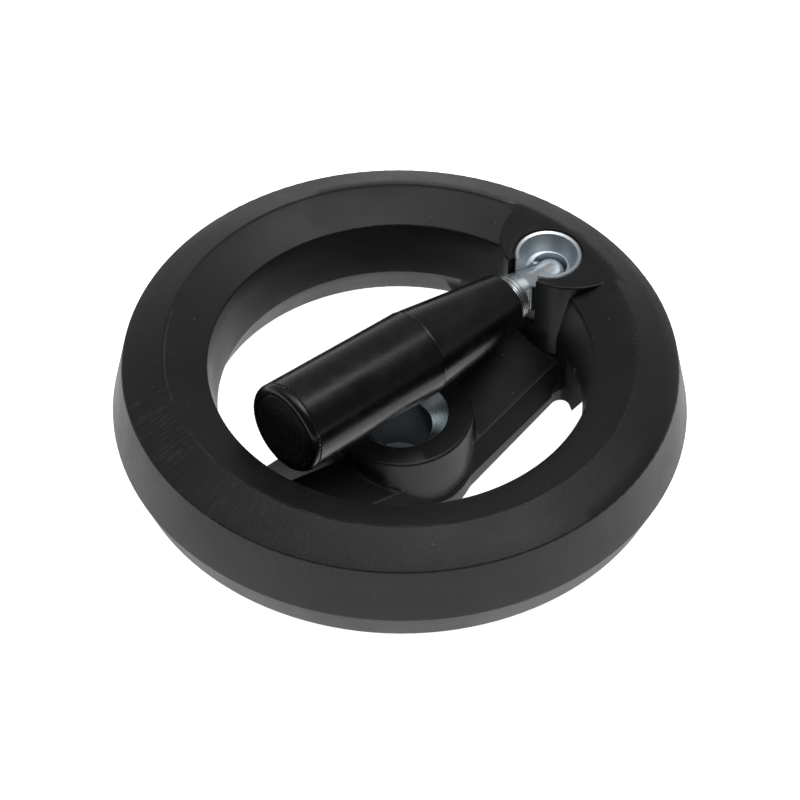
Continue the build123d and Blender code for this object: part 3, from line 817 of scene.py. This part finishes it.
@dataclass
class Studio:
    """Pale floor, surround, soft lights and the camera."""

    target: Vector = field(default_factory=lambda: Vector((0.0, 0.0, 24.5 * MM)))
    camera_azimuth: float = math.radians(-132.96)
    camera_elevation: float = math.radians(46.80)
    camera_distance: float = 895.2 * MM
    camera_roll: float = math.radians(-0.65)
    camera_sees: Span = (0.01, 20.0)
    lens_mm: float = 165.1
    sensor_mm: float = 36.0
    horizon: Colour = (0.56, 0.56, 0.57)
    overhead: Colour = (0.26, 0.26, 0.265)
    near_side: Colour = (0.045, 0.045, 0.048)
    horizon_fade: Span = (0.05, 0.42)
    far_side_starts: Span = (-0.45, 0.55)
    boxes: tuple[SoftBox, ...] = (
        SoftBox("top_light", 0.0, 88.0, 1.1, 3.7),
        SoftBox("right_light", 96.0, 71.0, 0.8, 5.3),
        SoftBox("left_light", 262.0, 66.0, 0.8, 1.5),
    )
    floor_grid: tuple[int, int] = (24, 96)  # rings and points on each
    floor_reach: float = 3.0
    floor_crowding: float = 1.6
    floor_cloud: Cloud = Cloud(3.0)
    floor_pale: tuple[Colour, Colour] = ((0.86, 0.86, 0.86), (0.88, 0.88, 0.88))
    floor_roughness: float = 0.6
    floor_glow: float = 0.98
    # Under the hub the glow is dark: a painted shadow, seen through the hub's bore.
    floor_lit: tuple[Colour, Colour] = ((0.02, 0.022, 0.024), (1.0, 1.0, 1.0))  # under the hub, and beyond
    hub_shade: Span = (9.0 * MM, 17.0 * MM)

    def camera(self) -> None:
        """Adds the camera and makes it the scene's."""
        data = bpy.data.cameras.new("camera")
        data.sensor_width = self.sensor_mm
        data.lens = self.lens_mm
        data.clip_start, data.clip_end = self.camera_sees
        away = direction(self.camera_azimuth, self.camera_elevation)
        holder = stand("camera", data, self.target, away * self.camera_distance)
        holder.rotation_quaternion = Quaternion(-away, self.camera_roll) @ holder.rotation_quaternion
        bpy.context.scene.camera = holder

    def floor(self) -> None:
        """Adds a flat round floor at the hub's lowest face.

        A ring that is a share u of the way out has radius reach * u^crowding, so rings lie closer near the
        wheel. The floor glows white, but its glow is left out under the hub: a painted shadow, seen through
        the hub's bore.
        """
        rings, steps = self.floor_grid
        radius = self.floor_reach * np.linspace(0.0, 1.0, rings)[:, None] ** self.floor_crowding
        turn = np.linspace(0.0, 2 * math.pi, steps, endpoint=False)[None, :]
        flat = np.zeros((rings, steps))
        points = np.stack([radius * np.cos(turn), radius * np.sin(turn), flat], axis=-1)
        obj = grid_object("floor", points, wrap_u=False, wrap_v=True)
        recipe = Recipe.named("pale_floor")
        spot = Spot.of(recipe)
        glow = recipe.tint(spot.radius.rise(*self.hub_shade), *self.floor_lit)
        obj.data.materials.append(
            recipe.surface(
                {
                    "Base Color": recipe.tint(self.floor_cloud.level(spot.place), *self.floor_pale),
                    "Roughness": self.floor_roughness,
                    "Emission Color": glow,
                    "Emission Strength": self.floor_glow,
                }
            )
        )

    def surround(self) -> None:
        """Sets a surround that is dark on the camera's side and brightest at the horizon beyond the wheel."""
        world = bpy.data.worlds.new("surround")
        world.use_nodes = True
        recipe = Recipe(world.node_tree)
        x, y, z = recipe.parts(recipe.node("ShaderNodeTexCoord", output="Generated"))
        beyond = x * -math.cos(self.camera_azimuth) + y * -math.sin(self.camera_azimuth)
        far = beyond.rise(*self.far_side_starts)
        glow = recipe.tint(far, self.near_side, self.overhead)
        glow = recipe.tint(z.fall(*self.horizon_fade) * far, glow, self.horizon)
        background = recipe.node("ShaderNodeBackground", None, {"Color": glow, "Strength": 1.0})
        recipe.end(background, "ShaderNodeOutputWorld")
        bpy.context.scene.world = world

    def build(self) -> None:
        """Builds the whole studio."""
        self.floor()
        self.surround()
        for box in self.boxes:
            box.build(self.camera_azimuth, self.target)
        self.camera()
        bpy.context.scene.view_settings.view_transform = "Standard"


# ------------------------------------------------------------
# Meshes
# ------------------------------------------------------------
def grid_object(name: str, points: np.ndarray, wrap_u: bool, wrap_v: bool) -> bpy.types.Object:
    """Makes a mesh object from a grid of points.

    Neighbouring grid points join into four-sided faces, which point along d/du x d/dv.

    Args:
        name: The object's name.
        points: Array of shape (u, v, 3), in metres.
        wrap_u: Whether the last row joins the first.
        wrap_v: Whether the last column joins the first.

    Returns:
        The linked object, smooth shaded.
    """
    rows, columns = points.shape[:2]
    index = np.arange(rows * columns).reshape(rows, columns)
    if wrap_u:
        index = np.vstack([index, index[:1]])
    if wrap_v:
        index = np.hstack([index, index[:, :1]])
    quads = np.stack([index[:-1, :-1], index[1:, :-1], index[1:, 1:], index[:-1, 1:]], axis=-1).reshape(-1, 4)
    mesh = bpy.data.meshes.new(name)
    mesh.from_pydata(points.reshape(-1, 3).tolist(), [], quads.tolist())
    mesh.polygons.foreach_set("use_smooth", np.ones(len(quads), bool))
    obj = bpy.data.objects.new(name, mesh)
    bpy.context.scene.collection.objects.link(obj)
    return obj


def weld(obj: bpy.types.Object, outward: bool) -> None:
    """Merges a mesh's doubled points.

    Args:
        obj: The object whose mesh is changed.
        outward: Whether its faces are turned outward as well.
    """
    work = bmesh.new()
    work.from_mesh(obj.data)
    bmesh.ops.remove_doubles(work, verts=work.verts, dist=WELD_BELOW)
    if outward:
        bmesh.ops.recalc_face_normals(work, faces=work.faces)
    work.to_mesh(obj.data)
    work.free()
    obj.data.update()


def shading_group() -> bpy.types.NodeTree:
    """Geometry nodes that weld a solid's loose triangles and shade its flatter edges smooth.

    Returns:
        The node group.
    """
    tree = bpy.data.node_groups.new("weld_and_shade", "GeometryNodeTree")
    for way in ("INPUT", "OUTPUT"):
        tree.interface.new_socket("Geometry", in_out=way, socket_type="NodeSocketGeometry")
    recipe = Recipe(tree)
    solid = recipe.node("NodeGroupInput")
    welded = recipe.node(
        "GeometryNodeMergeByDistance", None, {"Geometry": solid, "Distance": SOLID_WELD_BELOW}
    )
    smooth = recipe.node("GeometryNodeSetShadeSmooth", None, {"Geometry": welded})
    turn = recipe.node("GeometryNodeInputMeshEdgeAngle", output="Unsigned Angle")
    flat = recipe.node("FunctionNodeCompare", {"operation": "LESS_EQUAL"}, {0: turn, 1: SMOOTH_BELOW})
    shaded = recipe.node(
        "GeometryNodeSetShadeSmooth", {"domain": "EDGE"}, {"Geometry": smooth, "Shade Smooth": flat}
    )
    recipe.add("NodeGroupOutput", None, {0: shaded})
    return tree


def coat(obj: bpy.types.Object, finish: Finish) -> None:
    """Gives an object one finish and no other."""
    obj.data.materials.clear()
    obj.data.materials.append(finish.material())


def dress(node: str, finish: Finish, shading: bpy.types.NodeTree) -> None:
    """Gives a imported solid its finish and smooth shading.

    Args:
        node: The solid's name.
        finish: The finish that it gets.
        shading: The geometry nodes that shade it.
    """
    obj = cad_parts[node]
    coat(obj, finish)
    obj.modifiers.new("shading", "NODES").node_group = shading
    LOG.info("dressed %s", node)


def finish_piece(obj: bpy.types.Object, finish: Finish, body: str, node: str) -> None:
    """Gives a new piece its finish and its body, and hides the solid that it stands for.

    Args:
        obj: The piece.
        finish: The finish that it gets.
        body: The body that it rides on.
        node: The solid that it replaces.
    """
    coat(obj, finish)
    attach(obj, body)
    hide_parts(node)
    LOG.info("built %s on %s for %s, %d faces", obj.name, body, node, len(obj.data.polygons))


@dataclass(frozen=True)
class Shaft:
    """A straight axis in the XZ plane that pieces are turned round."""

    origin: tuple[float, float, float] = HANDLE_PIVOT
    tilt: float = HANDLE_TILT

    def turn(self, name: str, profile: np.ndarray, steps: int, closed: bool) -> bpy.types.Object:
        """Revolves a profile: point(u, v) = origin + s(u) * along + r(u) * (cos v * side + sin v * up).

        Args:
            name: The piece's name.
            profile: Array of (s, r) pairs in metres; s runs along the axis from its origin.
            steps: Number of stations round the axis.
            closed: Whether the profile is a loop; otherwise it starts and ends on the axis.

        Returns:
            The piece, welded, with its faces outward.
        """
        along = np.array([-math.cos(self.tilt), 0.0, math.sin(self.tilt)])
        side = np.array([0.0, 1.0, 0.0])
        up = np.cross(along, side)
        angle = np.linspace(0.0, 2 * math.pi, steps, endpoint=False)
        across = np.cos(angle)[:, None] * side + np.sin(angle)[:, None] * up
        points = np.array(self.origin) + profile[:, None, :1] * along + profile[:, None, 1:] * across[None]
        obj = grid_object(name, points, wrap_u=closed, wrap_v=True)
        weld(obj, outward=True)
        return obj


def at(corners: Sequence[Corner], s: float, radius: float) -> list[Corner]:
    """Corners carried to a place on the profile, where their own s and r count from."""
    return [(s + along, radius + across, size) for along, across, size in corners]


def rounded(corners: Sequence[Corner], closed: bool, steps: int = 7, guard: float = 0.3) -> np.ndarray:
    """Profile through corners, each rounded by an arc that touches both of its sides.

    A corner P with round R between unit directions a (back) and b (onward) has its arc about
    P + (a + b) * R / (|a + b| * sin(h)), h being half the angle between a and b, from tangent points
    P + a * t and P + b * t with t = R / tan(h). One more point on each side, at t * (1 + guard), keeps the
    smooth shading of the arc off the straight stretch.

    Args:
        corners: (s, r, round) of each corner, in millimetres.
        closed: Whether the last corner joins the first.
        steps: Points on each arc.
        guard: How far past each tangent point the extra point lies, as a share of t.

    Returns:
        Array of (s, r) pairs, in metres.
    """
    table = np.array(corners, float)
    points, rounds = table[:, :2], table[:, 2]
    turn = np.linspace(0.0, 1.0, steps)[:, None]
    parts = []
    for i, (point, size) in enumerate(zip(points, rounds)):
        end = not closed and i in (0, len(points) - 1)
        if size <= 0 or end:
            parts.append(point[None])
            continue
        back = points[i - 1] - point
        onward = points[(i + 1) % len(points)] - point
        back, onward = back / np.hypot(*back), onward / np.hypot(*onward)
        half = math.acos(np.clip(back @ onward, -1.0, 1.0)) / 2
        reach = size / math.tan(half)
        centre = point + (back + onward) / np.hypot(*(back + onward)) * size / math.sin(half)
        first, last = point + back * reach - centre, point + onward * reach - centre
        spread = math.pi - 2 * half
        arc = (np.sin((1 - turn) * spread) * first + np.sin(turn * spread) * last) / math.sin(spread)
        before, after = (point + way * reach * (1 + guard) for way in (back, onward))
        parts.append(np.vstack([before, centre + arc, after]))
    return np.vstack(parts) * MM


# ------------------------------------------------------------
# Sub-assemblies
# ------------------------------------------------------------
@dataclass
class Wheel:
    """The moulded wheel and the steel bush in its hub."""

    shading: bpy.types.NodeTree
    body: str = "wheel_body"
    bush: str = "hub_bush"

    def build(self) -> None:
        """Dresses both."""
        dress(self.body, Finish.WHEEL, self.shading)
        dress(self.bush, Finish.BUSH, self.shading)


@dataclass
class Socket:
    """The boss's zinc-plated bush, with its narrow flat lip over the steep mouth, and what lies in it.

    Sizes are in millimetres, and depths count down from the lip. The lip's inner edge is the mouth's upper
    edge.
    """

    shading: bpy.types.NodeTree
    inside: tuple[str, ...] = ("pivot_pin", "thrust_pad", "thrust_spring", "socket_plug")
    axis_x: float = 49.5
    top: float = 42.0
    mouth: Span = (5.3, 4.4)  # radius and depth of its lower edge
    solid_lip: Span = (6.5, 0.35)  # radius and depth of the lip's inner edge in the solid
    lip: Span = (7.25, 0.22)  # the same in the piece
    lip_outer: float = 8.0
    slot_half: float = 3.7
    on_profile: float = 0.06  # points nearer than this to the mouth or the lip are theirs
    on_slot: float = 0.05  # the same for the slot's sides
    under_mouth: float = 0.01  # the same below the mouth's lower edge

    def bush(self) -> bpy.types.Object:
        """Copies the solid's mesh and moves the mouth's upper edge outward.

        The mouth and the lip are two straight stretches of one profile; each is carried linearly on to its
        new stretch, and points in the slot's two sides keep their distance from its middle plane.

        Returns:
            The piece.
        """
        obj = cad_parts["socket_bush"].copy()
        obj.data = obj.data.copy()
        obj.name = "socket_bush_lipped"
        bpy.context.scene.collection.objects.link(obj)
        weld(obj, outward=False)
        mesh = obj.data
        points = np.empty(len(mesh.vertices) * 3)
        mesh.vertices.foreach_get("co", points)
        points = points.reshape(-1, 3) / MM
        x, y = points[:, 0] - self.axis_x, points[:, 1]
        radius, depth = np.hypot(x, y), self.top - points[:, 2]
        (mouth_radius, mouth_depth), (solid_radius, solid_depth) = self.mouth, self.solid_lip
        radii = [mouth_radius, solid_radius, self.lip_outer]
        depths = [mouth_depth, solid_depth, 0.0]
        new_radius = np.interp(radius, radii, [mouth_radius, self.lip[0], self.lip_outer])
        new_depth = np.interp(depth, depths[::-1], [0.0, self.lip[1], mouth_depth])
        moved = abs(np.interp(radius, radii, depths) - depth) < self.on_profile
        moved &= (radius > mouth_radius - self.under_mouth) & (radius < self.lip_outer)
        on_side = moved & (abs(abs(y) - self.slot_half) < self.on_slot) & (x < 0)
        scale = np.divide(new_radius, radius, out=np.ones_like(radius), where=moved)
        side_x = -np.sqrt(np.maximum(new_radius**2 - y**2, 0.0))
        points[:, 0] = np.where(on_side, side_x, x * scale) + self.axis_x
        points[:, 1] = np.where(on_side, y, y * scale)
        points[:, 2] = np.where(moved, self.top - new_depth, points[:, 2])
        mesh.vertices.foreach_set("co", (points * MM).ravel())
        mesh.update()
        obj.modifiers.new("shading", "NODES").node_group = self.shading
        return obj

    def build(self) -> None:
        """Builds the bush and dresses what lies in it."""
        finish_piece(self.bush(), Finish.SOCKET, "wheel", "socket_bush")
        for node in self.inside:
            dress(node, Finish.HARDWARE, self.shading)


@dataclass
class Crank:
    """The turned spindle that carries the grip, with its washer and ring."""

    shading: bpy.types.NodeTree
    spindle: str = "crank_spindle"
    small_parts: tuple[str, ...] = ("grip_washer", "retaining_ring")

    def build(self) -> None:
        """Dresses the three."""
        dress(self.spindle, Finish.SPINDLE, self.shading)
        for node in self.small_parts:
            dress(node, Finish.HARDWARE, self.shading)


@dataclass(frozen=True)
class Ring:
    """One run of turning rings on a face, in millimetres."""

    depth: float
    pitch: float
    phase: float = 0.0

    def height(self, radius: np.ndarray) -> np.ndarray:
        """Height of the face there: depth * sin(2 pi r / pitch + phase)."""
        return self.depth * np.sin(radius * 2 * math.pi / self.pitch + self.phase)


@dataclass
class Grip:
    """The turning grip: a sleeve with a knee in its length, closed by a turned cap.

    Sizes are in millimetres, with places along the handle from its pivot. A detail is a row of corners
    (s, r, round) that count from a place on the outline.
    """

    shaft: Shaft = field(default_factory=Shaft)
    start: float = 16.05
    knee: float = 45.95
    end: float = 88.35
    bore: float = 4.05
    small_radius: float = 7.4
    knee_radius: float = 11.05
    end_radius: float = 11.45
    counterbore_start: float = 74.05
    counterbore_radius: float = 7.2
    seat_radius: float = 9.25
    bore_round: float = 0.1
    small_round: float = 0.8
    broken: float = 0.05  # round of an edge that is only broken
    bead: tuple[Corner, ...] = ((-0.22, -0.027, 0.12), (-0.02, 0.035, 0.12), (0.2, 0.002, 0.12))
    groove_back: float = 2.2  # from the end
    groove: tuple[Corner, ...] = (
        (-0.17, -0.016, 0.05), (-0.06, -0.12, 0.03), (0.06, -0.12, 0.03), (0.17, -0.016, 0.05)
    )
    shoulder: tuple[Corner, ...] = ((-0.02, -0.01, 1.65),)
    seat_mouth: tuple[Corner, ...] = ((-0.02, 0.35, 0.12), (-0.28, 0.0, 0.05))
    steps: int = 200

    cap_radius: float = 9.17
    cap_thickness: float = 2.0
    cap_edge: tuple[Corner, ...] = ((-0.08, -0.22, 0.05), (-0.25, 0.0, 0.06))
    cap_play: Span = (0.02, 0.03)  # to its seat along the handle, and to the counterbore
    spigot: Span = (3.0, 6.2)  # depth and inner radius
    face_points: int = 110
    face_inset: float = 0.35
    face_back: float = 0.05
    dish: float = 0.10
    rings: tuple[Ring, ...] = (Ring(0.024, 0.83), Ring(0.025, 1.9, 0.8))
    rings_from: float = 1.0  # they have their whole height from this radius outward
    cap_steps: int = 160
    cap_arc: int = 4

    def sleeve(self) -> bpy.types.Object:
        """Turns the sleeve: small end, bead at the knee, groove, round far shoulder, then back inside.

        Returns:
            The piece.
        """
        seat = self.end - self.cap_thickness
        corners = [
            (self.start, self.bore, self.bore_round),
            (self.start, self.small_radius, self.small_round),
            *at(self.bead, self.knee, self.knee_radius),
            *at(self.groove, self.end - self.groove_back, self.end_radius),
            *at(self.shoulder, self.end, self.end_radius),
            *at(self.seat_mouth, self.end, self.seat_radius),
            (seat, self.seat_radius, self.broken),
            (seat, self.counterbore_radius, self.broken),
            (self.counterbore_start, self.counterbore_radius, self.broken),
            (self.counterbore_start, self.bore, self.broken),
        ]
        return self.shaft.turn("grip_sleeve_turned", rounded(corners, True), self.steps, True)

    def cap(self) -> bpy.types.Object:
        """Turns the cap, whose face is dished and carries rings.

        The face lies at s = end - back - dish * (1 - (r / R)^2) + wave(r) * min(1, r / from), where R is
        the cap's radius and the wave is the sum of its rings.

        Returns:
            The piece.
        """
        radius = np.linspace(0.0, self.cap_radius - self.face_inset, self.face_points)
        wave = sum(ring.height(radius) for ring in self.rings)
        sunk = self.face_back + self.dish * (1.0 - (radius / self.cap_radius) ** 2)
        along = self.end - sunk + wave * np.minimum(1.0, radius / self.rings_from)
        face = np.stack([along, radius], axis=1)
        seat = self.end - self.cap_thickness
        back, wall = seat + self.cap_play[0], self.counterbore_radius - self.cap_play[1]
        depth, hollow = self.spigot
        corners = [
            (*face[-1], 0.0),
            *at(self.cap_edge, self.end, self.cap_radius),
            (back, self.cap_radius, self.broken),
            (back, wall, self.broken),
            (seat - depth, wall, self.broken),
            (seat - depth, hollow, self.broken),
            (seat, hollow, self.broken),
            (seat, 0.0, 0.0),
        ]
        profile = np.vstack([face * MM, rounded(corners, False, self.cap_arc)[1:]])
        return self.shaft.turn("grip_cap_turned", profile, self.cap_steps, False)

    def build(self) -> None:
        """Builds both pieces."""
        finish_piece(self.sleeve(), Finish.GRIP, "grip", "grip_sleeve")
        finish_piece(self.cap(), Finish.CAP, "grip", "grip_end_cap")


def main() -> None:
    """Builds the scene in order."""
    logging.basicConfig(level=logging.INFO, format="%(message)s")
    shading = shading_group()
    for assembly in (Wheel(shading), Socket(shading), Crank(shading), Grip(), Studio()):
        assembly.build()


if __name__ == "__main__":
    main()
